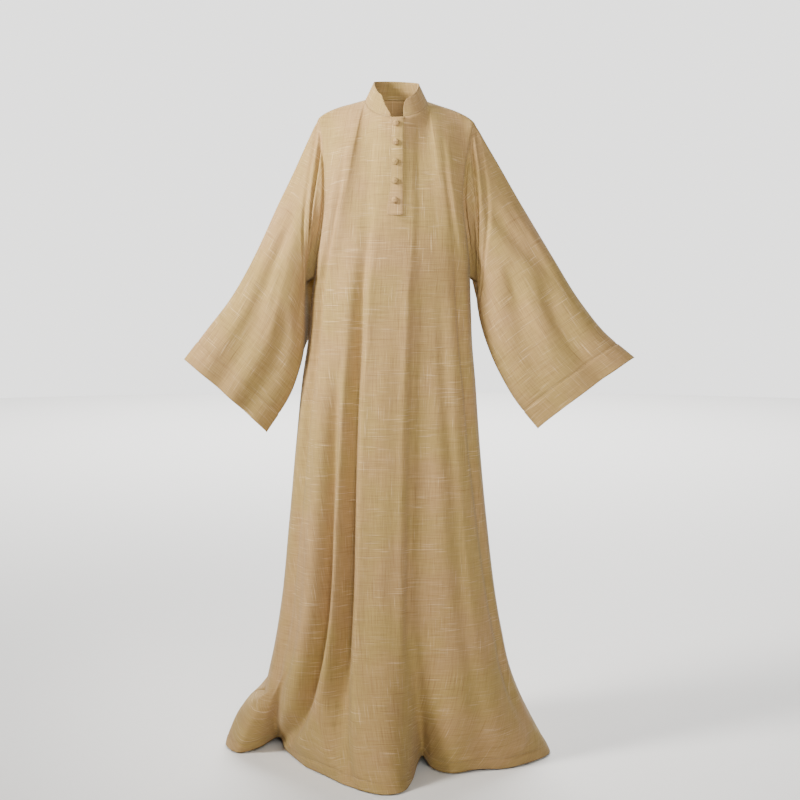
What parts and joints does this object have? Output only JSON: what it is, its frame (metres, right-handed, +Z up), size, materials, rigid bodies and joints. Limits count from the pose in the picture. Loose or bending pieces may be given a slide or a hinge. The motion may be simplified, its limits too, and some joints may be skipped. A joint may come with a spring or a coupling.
{
  "type": "long abaya dress",
  "caption": "Long A-line abaya dress in slub linen, with bell sleeves, a stand collar and a buttoned half placket, hem resting on the floor.",
  "frame": {"origin": "middle of the neck base, level with the shoulder line, where the wearer's shoulders hold the garment", "axes": "+X to the wearer's left, the front faces -Y, +Z up"},
  "size_m": [0.9948, 0.576, 1.5076],
  "materials": {
    "cloth": "matte slub linen",
    "button_cover": "matte covered button"
  },
  "bodies": {
    "root": {"front_panel": "cloth", "back_panel": "cloth", "sleeve_left": "cloth", "sleeve_right": "cloth", "collar": "cloth", "placket": "cloth", "button_1": "button_cover", "button_2": "button_cover", "button_3": "button_cover", "button_4": "button_cover", "button_5": "button_cover"}
  },
  "joints": []
}
